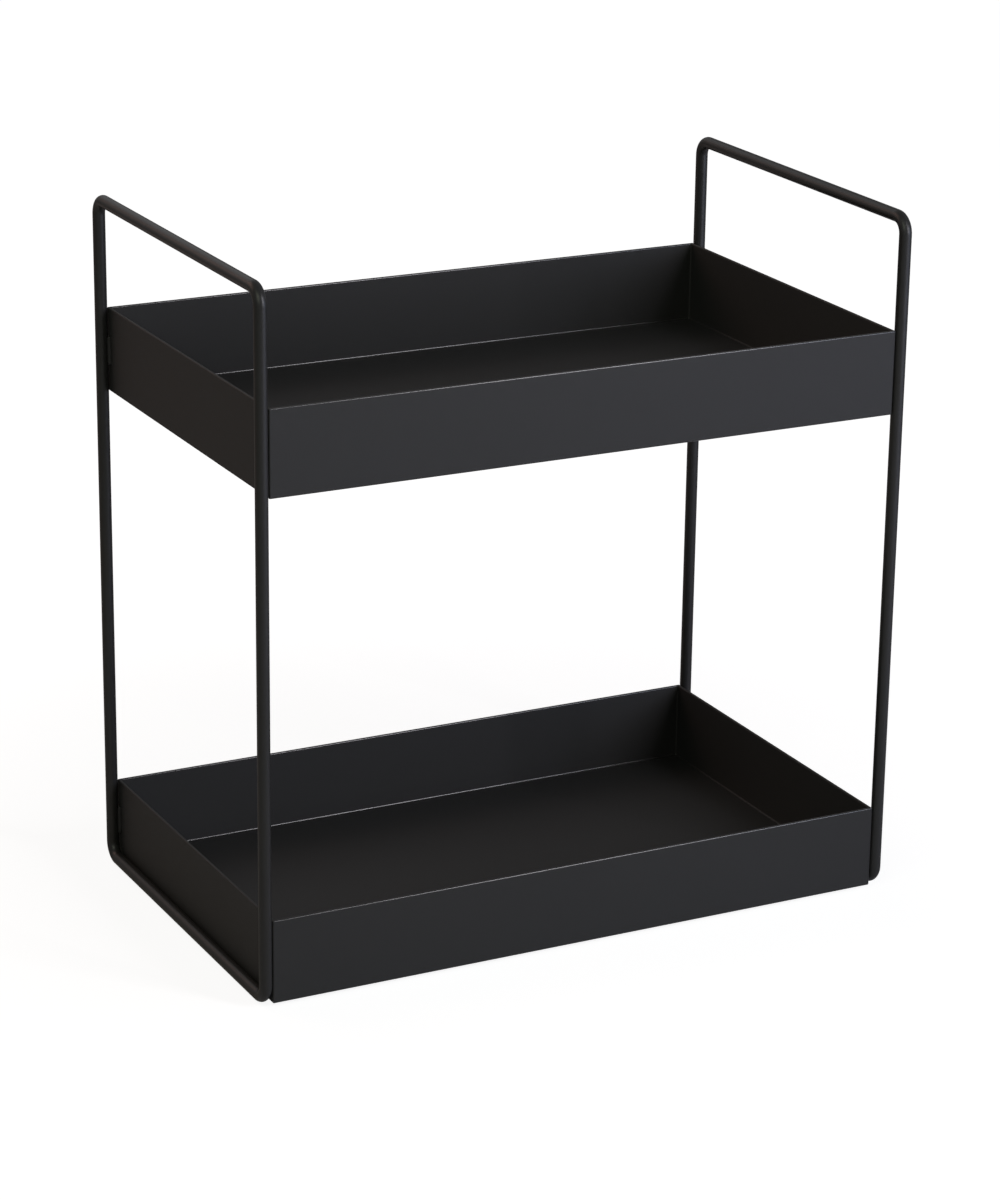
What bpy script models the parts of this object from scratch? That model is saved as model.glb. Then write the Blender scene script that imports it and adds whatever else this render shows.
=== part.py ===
"""Two-tier countertop organizer: two sheet steel trays carried between two closed loops of round rod.

Metres, +Z up. The origin is the centre of the footprint, on the surface that the four pads stand on.
X runs along the trays from left to right, and the front looks along -Y.
"""

import math

import bmesh
import bpy
from mathutils import Vector

# Directions
UP = Vector((0, 0, 1))
SIDES = {"left": -1, "right": 1}
ENDS = {"front": -1, "back": 1}

# Fits
FIT_GAP = 0.0003                # between pieces that touch
SAME_PLACE = 0.000001           # points closer than this count as one height or one plane

# Trays of sheet, folded tight, with the corner seams welded and ground
TRAY_LENGTH = 0.320
TRAY_DEPTH = 0.192
TRAY_HEIGHT = 0.041
SHEET = 0.0015
OUTSIDE_SEAM_RADIUS = 0.0007    # of the folds and the upright seams, outside
INSIDE_SEAM_RADIUS = 0.0008     # the same, inside
SEAM_STEPS = 4

# Tiers
TIER_PITCH = 0.241              # from the lower tray's underside to the upper tray's

# Anti-slip pads under the lower tray
PAD_RADIUS = 0.005
PAD_THICKNESS = 0.002
PAD_EDGE_ROUND = 0.0004
PAD_INSET = 0.018               # from the tray's outer faces to the pad's centre
PAD_SIDES = 32
PAD_EDGE_STEPS = 2

# Loops of round rod at the two ends
ROD_RADIUS = 0.003
LOOP_BEND_RADIUS = 0.0075       # of the rod's centre line
ROD_SET_IN = 0.001              # from the tray's front and back faces in to the uprights' centres
BAR_RISE = 0.002                # from the lower tray's underside up to the bottom bar's centre
HANDLE_RISE = 0.053             # from the upper tray's rim up to the top bar's centre
LOOP_BEND_STEPS = 10
ROD_RESOLUTION = 10             # Blender's bevel resolution, which gives the rod 24 sides

# Weld beads
UPRIGHT_BEAD_LENGTH = 0.014
UPRIGHT_BEAD_ANGLE = math.radians(60)   # how far the bead climbs round the upright from the wall
UPRIGHT_BEAD_LEG = 0.001        # how far its foot runs out along the wall past that climb
BEAD_CROWN = 0.00015            # how far a bead's face swells
BAR_BEAD_LENGTH = 0.016
BAR_BEAD_SPACING = 0.096        # between the two beads under a bottom bar
BAR_BEAD_LEG = 0.0006           # how far its foot runs in under the floor past the fold
BAR_BEAD_ROOT_ANGLE = math.radians(30)  # how far below level its root meets the rod and the fold
BAR_BEAD_FOOT_ANGLE = math.radians(25)  # from straight under the rod back to its foot there
BEAD_TAPER = 0.002              # length over which a bead runs out at each end
BEAD_STEPS = 4
BEAD_END_SHARES = ((0.0, 0.4), (0.4, 0.85), (1.0, 1.0))    # way along the taper, size of the bead there

# Colours: linear red, green, blue and alpha
POWDER_BLACK = (0.030, 0.030, 0.032, 1.0)
ROD_BLACK = (0.026, 0.026, 0.027, 1.0)
WELD_BLACK = (0.022, 0.022, 0.023, 1.0)
PAD_GREY = (0.050, 0.050, 0.052, 1.0)
COATING_ROUGHNESS = 0.42
WELD_ROUGHNESS = 0.55
PAD_ROUGHNESS = 0.85
SMOOTH_ANGLE = math.radians(40)

# Worked out from the sizes above
LOWER_TIER_Z = PAD_THICKNESS + FIT_GAP
UPPER_TIER_Z = LOWER_TIER_Z + TIER_PITCH
ROD_OFFSET = FIT_GAP + ROD_RADIUS               # from an end wall out to the rod's centre
LOOP_X = TRAY_LENGTH / 2 + ROD_OFFSET
UPRIGHT_Y = TRAY_DEPTH / 2 - ROD_SET_IN
BAR_Z = LOWER_TIER_Z + BAR_RISE
HANDLE_Z = UPPER_TIER_Z + TRAY_HEIGHT + HANDLE_RISE


def clear_scene():
    for obj in list(bpy.data.objects):
        bpy.data.objects.remove(obj, do_unlink=True)


def coating(name, colour, roughness):
    """A plain Principled material of one colour."""
    material = bpy.data.materials.new(name)
    material.use_nodes = True
    shader = material.node_tree.nodes["Principled BSDF"]
    shader.inputs["Base Color"].default_value = colour
    shader.inputs["Roughness"].default_value = roughness
    shader.inputs["Metallic"].default_value = 0.0
    return material


def empty(name, place):
    frame = bpy.data.objects.new(name, None)
    frame.location = place
    bpy.context.scene.collection.objects.link(frame)
    return frame


def add(name, data, parent, place, material):
    """Links one piece, standing at a place in its parent's frame."""
    data.materials.append(material)
    piece = bpy.data.objects.new(name, data)
    piece.parent = parent
    piece.location = place
    bpy.context.scene.collection.objects.link(piece)
    return piece


def mesh_from(bm, name):
    """Ends a bmesh as a smooth-shaded mesh whose real edges stay sharp."""
    mesh = bpy.data.meshes.new(name)
    bm.to_mesh(mesh)
    bm.free()
    mesh.shade_smooth()
    mesh.set_sharp_from_angle(angle=SMOOTH_ANGLE)
    return mesh


def tray_mesh():
    """One tray: a block hollowed from above to the sheet's thickness, with its seams rounded.

    Its own frame has the origin at the centre of the underside.
    """
    bm = bmesh.new()
    bmesh.ops.create_cube(bm, size=1)
    bmesh.ops.scale(bm, vec=Vector((TRAY_LENGTH, TRAY_DEPTH, TRAY_HEIGHT)), verts=bm.verts)
    bmesh.ops.translate(bm, verts=bm.verts, vec=UP * TRAY_HEIGHT / 2)
    mouth = [face for face in bm.faces if face.normal.z > 0.5]
    bmesh.ops.inset_region(bm, faces=mouth, thickness=SHEET, use_even_offset=True)
    floor = bmesh.ops.extrude_face_region(bm, geom=mouth)["geom"]
    bmesh.ops.delete(bm, geom=mouth, context="FACES_ONLY")
    sunk = [item for item in floor if isinstance(item, bmesh.types.BMVert)]
    bmesh.ops.translate(bm, verts=sunk, vec=-UP * (TRAY_HEIGHT - SHEET))

    def seams(outside):
        """Folds and upright seams on one side of the sheet, so without the edges of the rim."""
        return [edge for edge in bm.edges
                if any(vert.co.z < TRAY_HEIGHT - SAME_PLACE for vert in edge.verts)
                and outside == any(abs(vert.co.x) > TRAY_LENGTH / 2 - SAME_PLACE for vert in edge.verts)]

    inside_seams = seams(False)
    bmesh.ops.bevel(
        bm, geom=seams(True), offset=OUTSIDE_SEAM_RADIUS, segments=SEAM_STEPS, affect="EDGES",
        profile=0.5, material=-1)
    bmesh.ops.bevel(
        bm, geom=inside_seams, offset=INSIDE_SEAM_RADIUS, segments=SEAM_STEPS, affect="EDGES",
        profile=0.5, material=-1)
    return mesh_from(bm, "tray")


def rounded_loop(half_width, bottom, top, radius, steps):
    """Points round an upright loop in the YZ plane, with a true arc at each corner."""
    corners = ((half_width - radius, bottom + radius, -0.5),
               (half_width - radius, top - radius, 0.0),
               (radius - half_width, top - radius, 0.5),
               (radius - half_width, bottom + radius, 1.0))
    points = []
    for centre_y, centre_z, start_turns in corners:
        for step in range(steps + 1):
            angle = (start_turns + step / steps / 2) * math.pi
            points.append((0, centre_y + radius * math.cos(angle), centre_z + radius * math.sin(angle)))
    return points


def add_loop(name, x_sign, material):
    """One closed loop of rod: bottom bar, two uprights and the top bar that is the handle."""
    curve = bpy.data.curves.new(name, "CURVE")
    curve.dimensions = "3D"
    curve.bevel_depth = ROD_RADIUS
    curve.bevel_resolution = ROD_RESOLUTION
    points = rounded_loop(UPRIGHT_Y, BAR_Z, HANDLE_Z, LOOP_BEND_RADIUS, LOOP_BEND_STEPS)
    spline = curve.splines.new("POLY")
    spline.points.add(len(points) - 1)
    for target, point in zip(spline.points, points):
        target.co = (*point, 1)
    spline.use_cyclic_u = True
    spline.use_smooth = True
    return add(name, curve, None, Vector((x_sign * LOOP_X, 0, 0)), material)


def add_pad(name, place, parent, material):
    """A round pad with an eased edge. Its frame has the origin at the pad's upper face."""
    bm = bmesh.new()
    bmesh.ops.create_cone(
        bm, cap_ends=True, segments=PAD_SIDES, radius1=PAD_RADIUS, radius2=PAD_RADIUS, depth=PAD_THICKNESS)
    bmesh.ops.translate(bm, verts=bm.verts, vec=-UP * PAD_THICKNESS / 2)
    rims = [edge for edge in bm.edges if abs(edge.verts[0].co.z - edge.verts[1].co.z) < SAME_PLACE]
    bmesh.ops.bevel(
        bm, geom=rims, offset=PAD_EDGE_ROUND, segments=PAD_EDGE_STEPS, affect="EDGES", profile=0.5, material=-1)
    return add(name, mesh_from(bm, name), parent, place, material)


def crowned(start, end):
    """Points of a bead's face between its two feet, swelling a little, without the feet themselves."""
    chord = end - start
    swell = Vector((chord.y, -chord.x)).normalized() * BEAD_CROWN
    shares = [step / BEAD_STEPS for step in range(1, BEAD_STEPS)]
    return [start + chord * share + swell * (4 * share * (1 - share)) for share in shares]


def arc(centre, radius, start, end):
    """Points on a circle from one angle to another."""
    angles = [start + (end - start) * step / BEAD_STEPS for step in range(BEAD_STEPS + 1)]
    return [centre + radius * Vector((math.cos(angle), math.sin(angle))) for angle in angles]


def upright_bead_outline():
    """Across an upright's bead: x out of the end wall, y along the wall away from the upright.

    The bead lies in the groove between the wall and the rod, a fit gap clear of both.
    """
    seat = ROD_RADIUS + FIT_GAP
    rod = Vector((ROD_OFFSET, 0))
    root_angle = math.acos((ROD_OFFSET - FIT_GAP) / seat)
    climb = arc(rod, seat, math.pi - root_angle, math.pi - UPRIGHT_BEAD_ANGLE)
    foot = Vector((FIT_GAP, climb[-1].y + UPRIGHT_BEAD_LEG))
    return [*climb, *reversed(crowned(foot, climb[-1])), foot]


def bar_bead_outline():
    """Across the bead under a bottom bar: x out of the end wall, y up from the tray's underside.

    It bridges the rod and the tray's lower fold from below, a fit gap clear of both.
    """
    rod = Vector((ROD_OFFSET, BAR_RISE))
    fold = Vector((-OUTSIDE_SEAM_RADIUS, OUTSIDE_SEAM_RADIUS))
    down = -math.pi / 2
    down_rod = arc(rod, ROD_RADIUS + FIT_GAP, BAR_BEAD_ROOT_ANGLE - math.pi, down - BAR_BEAD_FOOT_ANGLE)
    up_fold = arc(fold, OUTSIDE_SEAM_RADIUS + FIT_GAP, down, -BAR_BEAD_ROOT_ANGLE)
    foot = up_fold[0] - Vector((BAR_BEAD_LEG, 0))
    return [*down_rod, *crowned(down_rod[-1], foot), foot, *up_fold]


def bead_mesh(name, outline, length, lay):
    """Sweeps a bead's outline along its length and runs it out at both ends.

    lay turns (across, across, along) into the piece's own frame.
    """
    half = length / 2
    stations = [(way * BEAD_TAPER - half, size) for way, size in BEAD_END_SHARES]
    stations += [(-along, size) for along, size in reversed(stations)]
    root = outline[0]
    bm = bmesh.new()
    rings = []
    for along, size in stations:
        ring = [root + (point - root) * size for point in outline]
        rings.append([bm.verts.new(lay(point.x, point.y, along)) for point in ring])
    count = len(outline)
    for near, far in zip(rings, rings[1:]):
        for i in range(count):
            j = (i + 1) % count
            bm.faces.new((near[i], near[j], far[j], far[i]))
    bm.faces.new(rings[0])
    bm.faces.new(rings[-1])
    bmesh.ops.recalc_face_normals(bm, faces=bm.faces)
    return mesh_from(bm, name)


def add_upright_bead(name, x_sign, y_sign, tier, material):
    """The bead that holds an upright to a tray's end wall, on its side towards the middle of the wall."""
    def lay(out, inward, along):
        return Vector((x_sign * out, -y_sign * inward, along))

    mesh = bead_mesh(name, upright_bead_outline(), UPRIGHT_BEAD_LENGTH, lay)
    place = Vector((x_sign * TRAY_LENGTH / 2, y_sign * UPRIGHT_Y, TRAY_HEIGHT / 2))
    return add(name, mesh, tier, place, material)


def add_bar_bead(name, x_sign, y_sign, tier, material):
    """A bead under a bottom bar, which holds it to the lower tray."""
    def lay(out, up, along):
        return Vector((x_sign * out, along, up))

    mesh = bead_mesh(name, bar_bead_outline(), BAR_BEAD_LENGTH, lay)
    place = Vector((x_sign * TRAY_LENGTH / 2, y_sign * BAR_BEAD_SPACING / 2, 0))
    return add(name, mesh, tier, place, material)


def build():
    clear_scene()
    powder = coating("tray_powder_coat", POWDER_BLACK, COATING_ROUGHNESS)
    tiers = {"lower": empty("lower_tier", (0, 0, LOWER_TIER_Z)),
             "upper": empty("upper_tier", (0, 0, UPPER_TIER_Z))}

    for level, tier in tiers.items():
        add(f"{level}_tray", tray_mesh(), tier, Vector(), powder.copy())

    for side, x_sign in SIDES.items():
        add_loop(f"{side}_loop", x_sign, coating(f"{side}_loop_coat", ROD_BLACK, COATING_ROUGHNESS))

    for side, x_sign in SIDES.items():
        for end, y_sign in ENDS.items():
            for level, tier in tiers.items():
                name = f"{level}_{end}_{side}_weld"
                weld = coating(f"{name}_coat", WELD_BLACK, WELD_ROUGHNESS)
                add_upright_bead(name, x_sign, y_sign, tier, weld)

            name = f"bottom_bar_{end}_{side}_weld"
            weld = coating(f"{name}_coat", WELD_BLACK, WELD_ROUGHNESS)
            add_bar_bead(name, x_sign, y_sign, tiers["lower"], weld)

            name = f"{end}_{side}_pad"
            place = Vector((x_sign * (TRAY_LENGTH / 2 - PAD_INSET),
                            y_sign * (TRAY_DEPTH / 2 - PAD_INSET), -FIT_GAP))
            add_pad(name, place, tiers["lower"], coating(f"{name}_rubber", PAD_GREY, PAD_ROUGHNESS))


build()
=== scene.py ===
"""Looks of the two-tier countertop organizer: folded trays, rod loops, weld beads, pads and their finishes.

Metres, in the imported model's own frame: X runs along the trays, the front looks along -Y, +Z is up.
"""

import math

import bmesh
import bpy
from mathutils import Matrix, Vector


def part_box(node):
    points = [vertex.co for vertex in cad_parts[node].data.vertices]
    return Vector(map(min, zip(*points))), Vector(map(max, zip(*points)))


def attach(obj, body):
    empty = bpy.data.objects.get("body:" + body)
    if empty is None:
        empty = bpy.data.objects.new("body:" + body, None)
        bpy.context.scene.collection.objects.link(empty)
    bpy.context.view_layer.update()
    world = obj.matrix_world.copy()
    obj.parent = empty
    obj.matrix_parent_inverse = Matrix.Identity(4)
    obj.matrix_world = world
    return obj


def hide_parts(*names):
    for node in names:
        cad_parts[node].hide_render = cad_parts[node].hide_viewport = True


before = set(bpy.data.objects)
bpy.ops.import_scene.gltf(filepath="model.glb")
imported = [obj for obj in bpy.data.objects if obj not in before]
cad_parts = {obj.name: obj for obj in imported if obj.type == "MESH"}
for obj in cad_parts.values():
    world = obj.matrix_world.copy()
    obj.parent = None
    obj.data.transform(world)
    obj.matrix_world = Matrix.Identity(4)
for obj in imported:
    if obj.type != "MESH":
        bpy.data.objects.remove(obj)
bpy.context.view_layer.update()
BODY = "root"

UP = Vector((0, 0, 1))
ALONG = Vector((1, 0, 0))
QUARTER_TURN = math.pi / 2
SIDES = {"left": -1, "right": 1}
ENDS = {"front": -1, "back": 1}

# Camera
PHOTO_LONG_SIDE = 1200          # pixels
FOCAL_LENGTH_PIXELS = 3725.6
SENSOR_LONG_SIDE = 36.0         # millimetres
CAMERA_AZIMUTH = math.radians(-27.19)
CAMERA_ELEVATION = math.radians(19.02)
CAMERA_ROLL = math.radians(0.78)
CAMERA_DISTANCE = 1.790
CAMERA_AIM = Vector((0, 0, 0.1823))
CAMERA_SLIDE = Vector((0.0024, -0.0362))    # sideways and upwards, across the view

# Sheet of the trays, with the rounds of its folds, its ground seams and its plain upper edge
SHEET = 0.0015
OUTSIDE_SEAM_RADIUS = 0.0007
INSIDE_SEAM_RADIUS = 0.0008
SEAM_STEPS = 8
RIM_ROUND = 0.0006
RIM_STEPS = 4

# Rod of the loops
ROD_RADIUS = 0.003
LOOP_BEND_RADIUS = 0.0075
ROD_SIDES = 48
LOOP_BEND_STEPS = 24
LAST_MERGE = 0.00001            # joins the end of the rod's way to its start

# Weld beads: half the width and half the thickness of a bead, the tilt of its face,
# and its place from the middle of its CAD node, outwards from the end wall and across
UPRIGHT_BEAD = ((0.0010, 0.0006), math.radians(-37), (-0.00035, 0.0003))
BAR_BEAD = ((0.0016, 0.0006), math.radians(-12), (0.0001, 0.0003))
BEAD_SIDES = 20
RIPPLE_PITCH = 0.0013
RIPPLE_SHARES = ((0.0, 0.93), (0.3, 1.0), (0.6, 1.04), (0.85, 1.0))     # way along a ripple, size there
BEAD_NOSE_SHARES = ((0.0, 0.35), (0.25, 0.7), (0.6, 0.9))               # way along the first ripple, size

# Pads
PAD_EDGE_ROUND = 0.0004
PAD_EDGE_STEPS = 4
PAD_SIDES = 64
PAD_BAND = 0.0014               # flat band round the pad's moulded recess
PAD_RECESS = 0.0003

# What counts as the same place, as flat and as smooth on any piece
SAME_PLACE = 0.000001           # points closer than this are at one height or in one plane
FLAT_SHARE = 0.9999             # a face with this much of its normal along an axis lies flat across it
SMOOTH_ANGLE = math.radians(35)


class Wire:
    """One output of a material's nodes. Plain arithmetic on it adds Math nodes."""

    def __init__(self, tree, socket=None):
        self.tree = tree
        self.socket = socket

    def node(self, kind, settings=None, inputs=None, output=0):
        """Adds a node: its settings first, then the values or wires of its inputs."""
        made = self.tree.nodes.new(kind)
        for name, value in (settings or {}).items():
            setattr(made, name, value)
        for name, value in (inputs or {}).items():
            if isinstance(value, Wire):
                self.tree.links.new(value.socket, made.inputs[name])
            else:
                made.inputs[name].default_value = value
        return Wire(self.tree, made.outputs[output] if made.outputs else None)

    def maths(self, operation, first, second):
        return self.node("ShaderNodeMath", {"operation": operation}, {0: first, 1: second})

    def __add__(self, other):
        return self.maths("ADD", self, other)

    def __mul__(self, other):
        return self.maths("MULTIPLY", self, other)

    def __sub__(self, other):
        return self.maths("SUBTRACT", self, other)

    def __rsub__(self, other):
        return self.maths("SUBTRACT", other, self)

    __radd__ = __add__
    __rmul__ = __mul__


def fresh_nodes(owner):
    """Empties the node tree of a material or a world and returns it as the start of its wires."""
    owner.use_nodes = True
    owner.node_tree.nodes.clear()
    return Wire(owner.node_tree)


def noise(nodes, place, per_metre, detail, finer_share):
    return nodes.node(
        "ShaderNodeTexNoise", {"noise_dimensions": "3D"},
        {"Vector": place, "Scale": per_metre, "Detail": detail, "Roughness": finer_share})


def tone_between(nodes, way, first, second):
    """The colour that is this way from the first to the second."""
    return nodes.node(
        "ShaderNodeMix", {"data_type": "RGBA"}, {"Factor": way, "A": first, "B": second}, output=2)


def add_object(name, data):
    made = bpy.data.objects.new(name, data)
    bpy.context.scene.collection.objects.link(made)
    return made


# Finishes

# Noises on the surfaces: features in a metre, octaves of detail, and each octave's share of the one before
CLOUD = (14, 3.0, 0.5)          # slow unevenness of the powder coat's film
PEEL = (700, 1.0, 0.5)          # orange peel of its skin
GRAIN = (3200, 2.0, 0.5)        # its finest grit
MOULD_GRAIN = (3200, 3.0, 0.6)  # grain of the moulded rubber
NOISE_MIDDLE = 0.5              # the level that every noise varies round

# Powder coat
TONE_CLOUD_SHARE = 0.75         # of the change of tone, where the grain makes the rest
SKIN_PEEL_SHARE = 0.7           # of the skin's height, where the grain makes the rest
SKIN_HEIGHT = 0.00002
SKIN_STRENGTH = 0.5
RESIN_INDEX = 1.5               # of refraction
RESIN_ROUGHNESS = 0.18          # of the clear resin that gathers where the film is thin

# Coats: dark and light tone, roughness and its swing, and the share of clear resin on top
SATIN_TONES = ((0.0275, 0.0275, 0.028, 1), (0.0325, 0.0325, 0.033, 1))
WELD_TONES = ((0.018, 0.018, 0.0185, 1), (0.024, 0.024, 0.0245, 1))
COATS = {
    "tray_coat": (SATIN_TONES, 0.58, 0.04, 0.0),
    "rod_coat": (SATIN_TONES, 0.36, 0.04, 0.0),
    "edge_coat": (SATIN_TONES, 0.24, 0.03, 0.9),
    "weld_coat": (WELD_TONES, 0.62, 0.05, 0.0),
}

# Rubber of the pads
RUBBER_TONES = ((0.040, 0.040, 0.041, 1), (0.060, 0.060, 0.062, 1))
RUBBER_ROUGHNESS = 0.78
RUBBER_ROUGHNESS_SWING = 0.12
RUBBER_GRAIN_HEIGHT = 0.00004
RUBBER_GRAIN_STRENGTH = 0.6


def powder_coat(name, tones, roughness, roughness_swing, resin_share):
    """Satin powder coat over steel, a film between two close tones with a faint orange peel."""
    material = bpy.data.materials.new(name)
    nodes = fresh_nodes(material)
    place = nodes.node("ShaderNodeTexCoord", output="Object")
    cloud = noise(nodes, place, *CLOUD)
    peel = noise(nodes, place, *PEEL)
    grain = noise(nodes, place, *GRAIN)
    tone = tone_between(nodes, cloud * TONE_CLOUD_SHARE + grain * (1 - TONE_CLOUD_SHARE), *tones)
    skin = peel * SKIN_PEEL_SHARE + grain * (1 - SKIN_PEEL_SHARE)
    bump = nodes.node(
        "ShaderNodeBump", None, {"Strength": SKIN_STRENGTH, "Distance": SKIN_HEIGHT, "Height": skin})
    shader = nodes.node(
        "ShaderNodeBsdfPrincipled", None,
        {"Base Color": tone, "Roughness": roughness + (cloud + grain - 2 * NOISE_MIDDLE) * roughness_swing,
         "Metallic": 0.0, "IOR": RESIN_INDEX,
         "Coat Weight": resin_share, "Coat Roughness": RESIN_ROUGHNESS, "Normal": bump})
    nodes.node("ShaderNodeOutputMaterial", None, {"Surface": shader})
    return material


def rubber(name):
    """Matte rubber with a fine moulded grain."""
    material = bpy.data.materials.new(name)
    nodes = fresh_nodes(material)
    place = nodes.node("ShaderNodeTexCoord", output="Object")
    grain = noise(nodes, place, *MOULD_GRAIN)
    tone = tone_between(nodes, grain, *RUBBER_TONES)
    bump = nodes.node(
        "ShaderNodeBump", None,
        {"Strength": RUBBER_GRAIN_STRENGTH, "Distance": RUBBER_GRAIN_HEIGHT, "Height": grain})
    shader = nodes.node(
        "ShaderNodeBsdfPrincipled", None,
        {"Base Color": tone, "Roughness": RUBBER_ROUGHNESS + grain * RUBBER_ROUGHNESS_SWING,
         "Metallic": 0.0, "Normal": bump})
    nodes.node("ShaderNodeOutputMaterial", None, {"Surface": shader})
    return material


# Mesh tools

def edges_in(geometry):
    return [item for item in geometry if isinstance(item, bmesh.types.BMEdge)]


def verts_in(geometry):
    return [item for item in geometry if isinstance(item, bmesh.types.BMVert)]


def ends_of(edges):
    return list({vert for edge in edges for vert in edge.verts})


def draw_out(bm, edges, travel):
    """Extrudes edges by a travel and returns the edges at the far side."""
    grown = bmesh.ops.extrude_edge_only(bm, edges=edges)["geom"]
    moved = verts_in(grown)
    bmesh.ops.translate(bm, verts=moved, vec=travel)
    return [edge for edge in edges_in(grown) if all(vert in moved for vert in edge.verts)]


def round_edges(bm, edges, radius, steps):
    bmesh.ops.bevel(bm, geom=edges, offset=radius, segments=steps, affect="EDGES", profile=0.5, material=-1)


def finish_piece(name, bm, material, node):
    """Ends a bmesh as a piece that rides the body and stands for its CAD node."""
    mesh = bpy.data.meshes.new(name)
    bm.to_mesh(mesh)
    bm.free()
    mesh.materials.append(material)
    mesh.shade_smooth()
    mesh.set_sharp_from_angle(angle=SMOOTH_ANGLE)
    piece = add_object(name, mesh)
    flats = piece.modifiers.new("flats", "WEIGHTED_NORMAL")
    flats.keep_sharp = True
    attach(piece, BODY)
    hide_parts(node)
    return piece


# Trays

def hollow_block(low, high):
    """A block from corner to corner, hollowed from above to the sheet's thickness."""
    bm = bmesh.new()
    bmesh.ops.create_cube(bm, size=1)
    bmesh.ops.scale(bm, vec=high - low, verts=bm.verts)
    bmesh.ops.translate(bm, verts=bm.verts, vec=(low + high) / 2)
    mouth = [face for face in bm.faces if face.normal.z > FLAT_SHARE]
    bmesh.ops.inset_region(bm, faces=mouth, thickness=SHEET, use_even_offset=True)
    floor = bmesh.ops.extrude_face_region(bm, geom=mouth)["geom"]
    bmesh.ops.delete(bm, geom=mouth, context="FACES_ONLY")
    bmesh.ops.translate(bm, verts=verts_in(floor), vec=-UP * (high.z - low.z - SHEET))
    return bm


def make_tray(name, node, coat, edge_coat):
    """One tray of sheet with tight folds, ground corner seams and an eased rim.

    The coat lies smoother on the rounds of the long walls than on the flats and the ground end seams.
    """
    low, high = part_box(node)
    bm = hollow_block(low, high)

    def on_rim(edge):
        return all(vert.co.z > high.z - SAME_PLACE for vert in edge.verts)

    def seams(outside):
        return [edge for edge in bm.edges if not on_rim(edge)
                and outside == any(abs(vert.co.x) > high.x - SAME_PLACE for vert in edge.verts)]

    inside_seams = seams(False)
    round_edges(bm, seams(True), OUTSIDE_SEAM_RADIUS, SEAM_STEPS)
    round_edges(bm, inside_seams, INSIDE_SEAM_RADIUS, SEAM_STEPS)
    rim = [edge for edge in bm.edges if on_rim(edge)
           and any(abs(face.normal.z) < FLAT_SHARE for face in edge.link_faces)]
    round_edges(bm, rim, RIM_ROUND, RIM_STEPS)
    for face in bm.faces:
        rounded = max(abs(share) for share in face.normal) < FLAT_SHARE
        along_a_long_wall = abs(face.normal.x) < 1 - FLAT_SHARE
        face.material_index = int(rounded and along_a_long_wall)
    tray = finish_piece(name, bm, coat, node)
    tray.data.materials.append(edge_coat)
    return tray


# Loops

def make_loop(name, node, material):
    """One closed loop of rod: a ring of its section drawn along each side and spun round each corner."""
    low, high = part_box(node)
    middle = (low + high) / 2
    reach = (high - low) / 2 - Vector((0, 1, 1)) * (ROD_RADIUS + LOOP_BEND_RADIUS)
    bm = bmesh.new()
    bmesh.ops.create_circle(bm, segments=ROD_SIDES, radius=ROD_RADIUS)
    centre = middle + Vector((0, reach.y, -reach.z))
    bmesh.ops.translate(bm, verts=bm.verts, vec=centre + Vector((0, LOOP_BEND_RADIUS, 0)))
    ring = bm.edges[:]
    heading = UP
    for run in (reach.z, reach.y, reach.z, reach.y):
        ring = draw_out(bm, ring, heading * run * 2)
        centre = centre + heading * run * 2
        bend = bmesh.ops.spin(
            bm, geom=[*ring, *ends_of(ring)], cent=centre, axis=ALONG,
            angle=QUARTER_TURN, steps=LOOP_BEND_STEPS)
        ring = edges_in(bend["geom_last"])
        heading = Matrix.Rotation(QUARTER_TURN, 3, "X") @ heading
    bmesh.ops.remove_doubles(bm, verts=bm.verts, dist=LAST_MERGE)
    bmesh.ops.recalc_face_normals(bm, faces=bm.faces)
    return finish_piece(name, bm, material, node)


# Weld beads

def ripples(length):
    """Ways along a bead and its size there: a nose, even ripples and a nose again."""
    count = round(length / RIPPLE_PITCH)
    pitch = length / count
    first = [(way * pitch, size) for way, size in BEAD_NOSE_SHARES]
    even = [((ripple + way) * pitch, size)
            for ripple in range(1, count - 1) for way, size in RIPPLE_SHARES]
    last = [(length - way * pitch, size) for way, size in reversed(BEAD_NOSE_SHARES)]
    return first + even + last


def make_bead(name, node, axes, shape, material):
    """A weld bead laid ripple by ripple in the groove at its CAD node.

    axes are the ways out of the end wall, across the bead and along it.
    """
    (half_width, half_thickness), tilt, shift = shape
    low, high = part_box(node)
    length = abs((high - low).dot(axes[2]))
    bm = bmesh.new()
    bmesh.ops.create_circle(bm, segments=BEAD_SIDES, radius=1)
    ring = bm.edges[:]
    reached, swell = 0, 1
    for way, size in ripples(length):
        if way > 0:
            ring = draw_out(bm, ring, UP * (way - reached))
        bmesh.ops.scale(bm, vec=Vector((size / swell, size / swell, 1)), verts=ends_of(ring))
        reached, swell = way, size
    bmesh.ops.holes_fill(bm, edges=bm.edges)
    section = Matrix.Rotation(tilt, 4, "Z") @ Matrix.Diagonal((half_width, half_thickness, 1, 1))
    lay = Matrix(axes).transposed().to_4x4()
    seat = Matrix.Translation((low + high) / 2) @ lay @ Matrix.Translation((*shift, -length / 2))
    bmesh.ops.transform(bm, verts=bm.verts, matrix=seat @ section)
    bmesh.ops.recalc_face_normals(bm, faces=bm.faces)
    return finish_piece(name, bm, material, node)


def make_beads(material):
    for side, x_sign in SIDES.items():
        outward = ALONG * x_sign
        for end, y_sign in ENDS.items():
            inward = Vector((0, -y_sign, 0))
            for level in ("lower", "upper"):
                node = f"{level}_{end}_{side}_weld"
                make_bead(f"{level}_{end}_{side}_bead", node, (outward, inward, UP), UPRIGHT_BEAD, material)
            node = f"bottom_bar_{end}_{side}_weld"
            make_bead(f"bottom_bar_{end}_{side}_bead", node, (outward, UP, inward), BAR_BEAD, material)


# Pads

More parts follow.
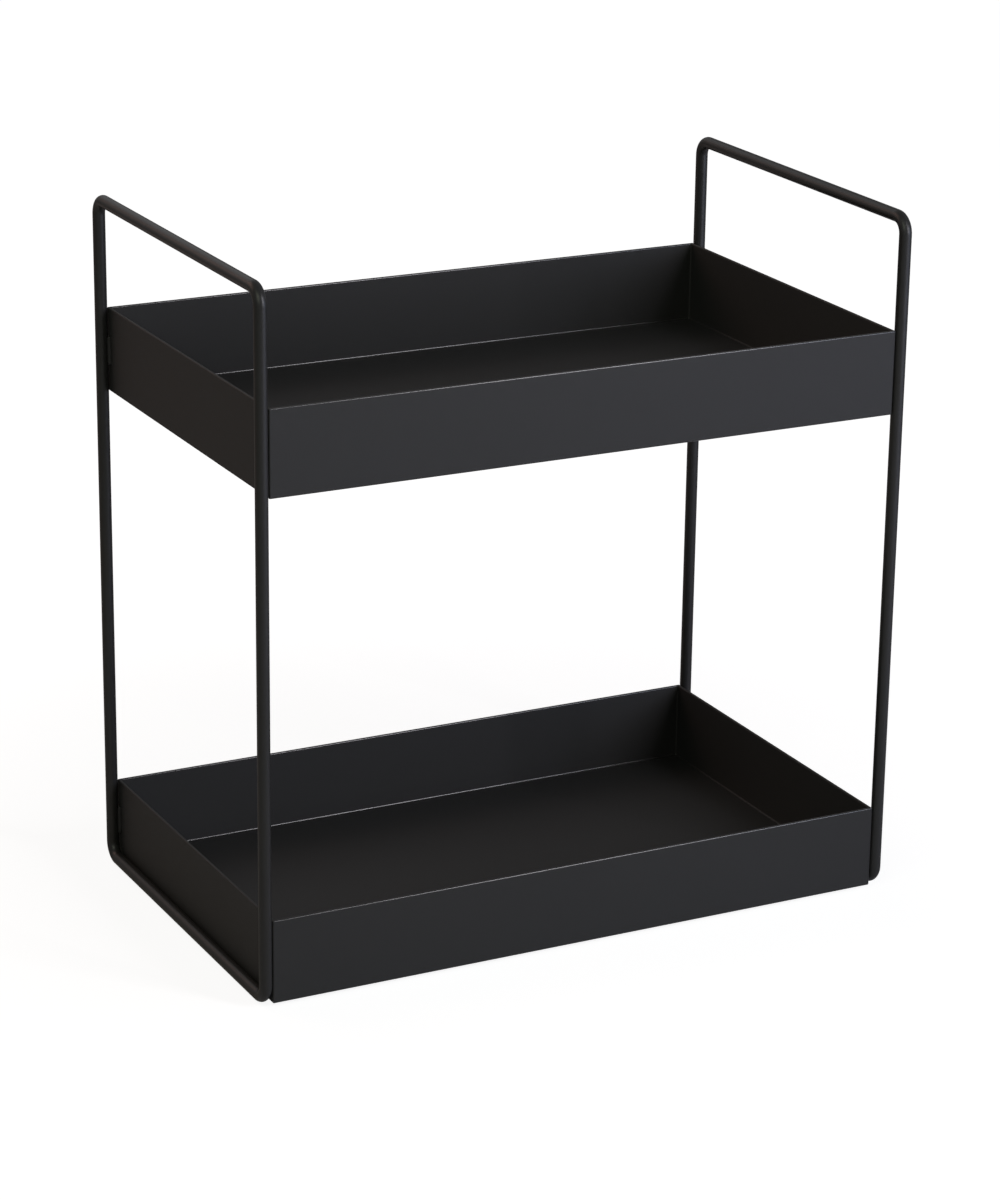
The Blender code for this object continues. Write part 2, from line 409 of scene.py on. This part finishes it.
def make_pad(name, node, material):
    """A round stick-on pad with eased edges and a shallow moulded recess in the face it stands on."""
    low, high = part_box(node)
    radius = (high.x - low.x) / 2
    bm = bmesh.new()
    bmesh.ops.create_cone(
        bm, cap_ends=True, segments=PAD_SIDES, radius1=radius, radius2=radius, depth=high.z - low.z)
    rims = [edge for edge in bm.edges if abs(edge.verts[0].co.z - edge.verts[1].co.z) < SAME_PLACE]
    round_edges(bm, rims, PAD_EDGE_ROUND, PAD_EDGE_STEPS)
    bottom = [face for face in bm.faces if face.normal.z < -FLAT_SHARE]
    bmesh.ops.inset_region(bm, faces=bottom, thickness=PAD_BAND)
    sunk = bmesh.ops.extrude_face_region(bm, geom=bottom)["geom"]
    bmesh.ops.delete(bm, geom=bottom, context="FACES_ONLY")
    bmesh.ops.translate(bm, verts=verts_in(sunk), vec=UP * PAD_RECESS)
    bmesh.ops.translate(bm, verts=bm.verts, vec=(low + high) / 2)
    return finish_piece(name, bm, material, node)


# Studio

WHITE = (1.0, 1.0, 1.0, 1.0)
WHITE_GLOW = 1.0                # strength at which a glow shows its own colour
ROOM_GLOSS_SHARE = 0.20         # how strongly the white room shows in the coat's gloss
FLOOR_GLOSS_SHARE = 0.03        # how much of the floor's glow shows there, beside the lamps' light on it
FLOOR_REACH = 3.0
FLOOR_TONE = (0.80, 0.80, 0.80, 1.0)
FLOOR_GLOW_NEAR = (0.90, 0.90, 0.90, 1.0)   # near the object the lamps make up the rest of the white
FLOOR_LIT = (0.40, 0.40, 0.40, 1.0)         # how much of the lamps' light, and so of the shadow, is seen
FLOOR_NEAR = 0.20
FLOOR_FAR = 0.60
FLOOR_SIDES = 96

# Soft boxes: azimuth and elevation in degrees, width and height, and radiance in red, green and blue
SOFT_BOX_DISTANCE = 1.6
SOFT_BOX_AIM = Vector((0, 0, 0.16))
SOFT_BOXES = {
    "front_strip": (27, 22, 0.3, 1.1, (7.35, 7.10, 7.50)),
    "right_cool": (45, 10, 0.9, 0.9, (0.85, 1.02, 1.45)),
    "left": (315, 35, 0.9, 0.9, (1.12, 1.20, 0.92)),
    "back_left_warm": (225, 35, 0.9, 0.9, (0.98, 0.62, 0.52)),
    "back": (180, 35, 0.9, 0.9, (0.35, 0.35, 0.36)),
}


def whiteness_seen(nodes, gloss_share):
    """1 for the camera's own rays and those through glass, and the given share for those off a gloss."""
    seen = nodes.node("ShaderNodeLightPath", output="Is Camera Ray")
    glossy = nodes.node("ShaderNodeLightPath", output="Is Glossy Ray")
    through = nodes.node("ShaderNodeLightPath", output="Is Transmission Ray")
    return seen + through + glossy * gloss_share


def make_world():
    """White to the camera and through glass, faint in the gloss, else dark: the lamps do the lighting."""
    world = bpy.data.worlds.new("studio")
    bpy.context.scene.world = world
    nodes = fresh_nodes(world)
    light = nodes.node(
        "ShaderNodeBackground", None,
        {"Color": WHITE, "Strength": whiteness_seen(nodes, ROOM_GLOSS_SHARE)})
    nodes.node("ShaderNodeOutputWorld", None, {"Surface": light})


def pale_floor():
    """White to the camera with the object's faint shadow, plain to the lamps, and clear from below."""
    material = bpy.data.materials.new("pale_floor")
    nodes = fresh_nodes(material)
    plain = nodes.node("ShaderNodeBsdfDiffuse", None, {"Color": FLOOR_TONE})
    place = nodes.node("ShaderNodeTexCoord", output="Object")
    away = nodes.node("ShaderNodeVectorMath", {"operation": "LENGTH"}, {0: place}, output="Value")
    far = nodes.node(
        "ShaderNodeMapRange", {"interpolation_type": "SMOOTHSTEP"},
        {"Value": away, "From Min": FLOOR_NEAR, "From Max": FLOOR_FAR})
    white = tone_between(nodes, far, FLOOR_GLOW_NEAR, WHITE)
    lit = nodes.node("ShaderNodeBsdfDiffuse", None, {"Color": FLOOR_LIT})
    glow = nodes.node("ShaderNodeEmission", None, {"Color": white, "Strength": WHITE_GLOW})
    shown = nodes.node("ShaderNodeAddShader", None, {0: lit, 1: glow})
    above = nodes.node(
        "ShaderNodeMixShader", None, {0: whiteness_seen(nodes, FLOOR_GLOSS_SHARE), 1: plain, 2: shown})
    below = nodes.node("ShaderNodeNewGeometry", output="Backfacing")
    clear = nodes.node("ShaderNodeBsdfTransparent")
    surface = nodes.node("ShaderNodeMixShader", None, {0: below, 1: above, 2: clear})
    nodes.node("ShaderNodeOutputMaterial", None, {"Surface": surface})
    return material


def make_floor():
    bm = bmesh.new()
    bmesh.ops.create_circle(bm, cap_ends=True, segments=FLOOR_SIDES, radius=FLOOR_REACH)
    mesh = bpy.data.meshes.new("floor")
    bm.to_mesh(mesh)
    bm.free()
    mesh.materials.append(pale_floor())
    floor = add_object("floor", mesh)


def direction(azimuth, elevation):
    """The way from the object towards a viewer or a lamp, in the sense of the camera's own angles."""
    return Vector((math.sin(azimuth) * math.cos(elevation),
                   -math.cos(azimuth) * math.cos(elevation),
                   math.sin(elevation)))


def make_soft_boxes():
    """Lamps round the object. An energy of pi times the lamp's area makes its colour its radiance."""
    for name, (azimuth, elevation, width, height, radiance) in SOFT_BOXES.items():
        light = bpy.data.lights.new(name, "AREA")
        light.shape = "RECTANGLE"
        light.size = width
        light.size_y = height
        light.energy = math.pi * width * height
        light.color = radiance
        box = add_object(name, light)
        way = direction(math.radians(azimuth), math.radians(elevation))
        box.location = SOFT_BOX_AIM + way * SOFT_BOX_DISTANCE
        box.rotation_mode = "QUATERNION"
        box.rotation_quaternion = (-way).to_track_quat("-Z", "Y")


def make_camera():
    back = direction(CAMERA_AZIMUTH, CAMERA_ELEVATION)
    level = (-back).cross(UP).normalized()
    above = level.cross(-back)
    right = level * math.cos(CAMERA_ROLL) + above * math.sin(CAMERA_ROLL)
    up = above * math.cos(CAMERA_ROLL) - level * math.sin(CAMERA_ROLL)
    data = bpy.data.cameras.new("camera")
    data.sensor_fit = "AUTO"
    data.sensor_width = SENSOR_LONG_SIDE
    data.lens = FOCAL_LENGTH_PIXELS / PHOTO_LONG_SIDE * SENSOR_LONG_SIDE
    camera = add_object("camera", data)
    place = CAMERA_AIM + back * CAMERA_DISTANCE + level * CAMERA_SLIDE.x + above * CAMERA_SLIDE.y
    camera.matrix_world = Matrix.Translation(place) @ Matrix((right, up, back)).transposed().to_4x4()
    bpy.context.scene.camera = camera


bpy.context.scene.view_settings.view_transform = "Standard"
make_camera()
make_world()
make_floor()
make_soft_boxes()

coats = {name: powder_coat(name, *finish) for name, finish in COATS.items()}
pad_rubber = rubber("pad_rubber")

for level in ("lower", "upper"):
    make_tray(f"{level}_tray_shell", f"{level}_tray", coats["tray_coat"], coats["edge_coat"])
for side in SIDES:
    make_loop(f"{side}_rod_loop", f"{side}_loop", coats["rod_coat"])
    for end in ENDS:
        make_pad(f"{end}_{side}_foot", f"{end}_{side}_pad", pad_rubber)
make_beads(coats["weld_coat"])
